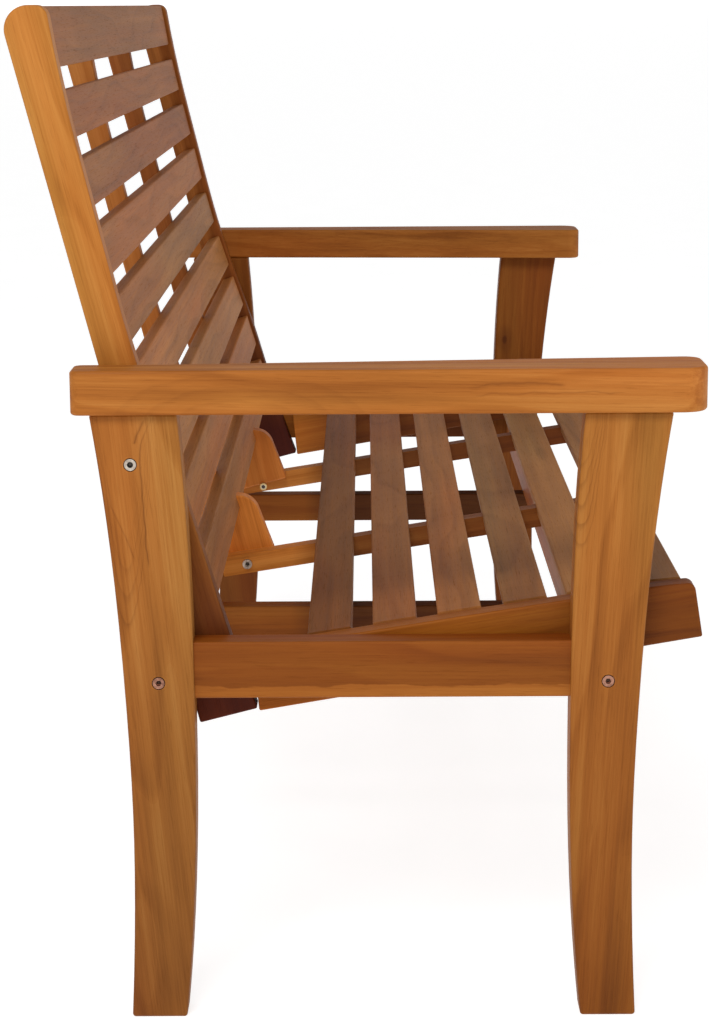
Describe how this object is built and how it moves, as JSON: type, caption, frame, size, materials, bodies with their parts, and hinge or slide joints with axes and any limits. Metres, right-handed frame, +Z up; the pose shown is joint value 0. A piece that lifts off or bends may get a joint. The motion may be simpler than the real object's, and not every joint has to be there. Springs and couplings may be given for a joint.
{
  "type": "slatted garden bench",
  "caption": "Slatted hardwood garden bench with wide armrests, sabre legs, a reclined slatted back and a slatted seat, bolted together.",
  "frame": {"origin": "on the floor, at the centre of the overall bounding box's underside", "axes": "+X along the bench's length, +Y to the rear, +Z up; the seat faces -Y"},
  "size_m": [1.52, 0.6482, 0.951],
  "materials": {
    "hardwood_frame": "oiled satin",
    "hardwood_slats": "oiled matte, weathered",
    "dowel_beech": "plain",
    "bolt_steel": "zinc plated",
    "rail_bolt_steel": "bronze-toned plating",
    "screw_brass": "yellow passivated",
    "nut_brass": "yellow passivated"
  },
  "bodies": {
    "root": {"arm_dowels": "dowel_beech", "armrest_left": "hardwood_frame", "armrest_right": "hardwood_frame", "back_bolt_nuts": "bolt_steel", "back_bolts": "bolt_steel", "back_end_upright_left": "hardwood_frame", "back_end_upright_right": "hardwood_frame", "back_mid_upright_left": "hardwood_frame", "back_mid_upright_right": "hardwood_frame", "back_slat_1": "hardwood_slats", "back_slat_2": "hardwood_slats", "back_slat_3": "hardwood_slats", "back_slat_4": "hardwood_slats", "back_slat_5": "hardwood_slats", "back_slat_6": "hardwood_slats", "back_slat_7": "hardwood_slats", "back_slat_8": "hardwood_slats", "back_slat_9": "hardwood_slats", "back_slat_dowels": "dowel_beech", "back_slat_screws": "screw_brass", "barrel_nuts": "rail_bolt_steel", "bolt_washers": "bolt_steel", "cross_rail_left": "hardwood_frame", "cross_rail_right": "hardwood_frame", "cross_rail_screws": "screw_brass", "front_leg_left": "hardwood_frame", "front_leg_right": "hardwood_frame", "lap_bolts": "bolt_steel", "lap_nuts": "nut_brass", "long_rail_front": "hardwood_frame", "long_rail_rear": "hardwood_frame", "rail_bolts": "rail_bolt_steel", "rear_leg_left": "hardwood_frame", "rear_leg_right": "hardwood_frame", "seat_end_rail_left": "hardwood_frame", "seat_end_rail_right": "hardwood_frame", "seat_mid_rail_left": "hardwood_frame", "seat_mid_rail_right": "hardwood_frame", "seat_rail_screws": "screw_brass", "seat_slat_1": "hardwood_slats", "seat_slat_2": "hardwood_slats", "seat_slat_3": "hardwood_slats", "seat_slat_4": "hardwood_slats", "seat_slat_5": "hardwood_slats", "seat_slat_6": "hardwood_slats", "seat_slat_dowels": "dowel_beech", "seat_slat_screws": "screw_brass", "side_rail_dowels": "dowel_beech", "side_rail_left": "hardwood_frame", "side_rail_right": "hardwood_frame"}
  },
  "joints": []
}
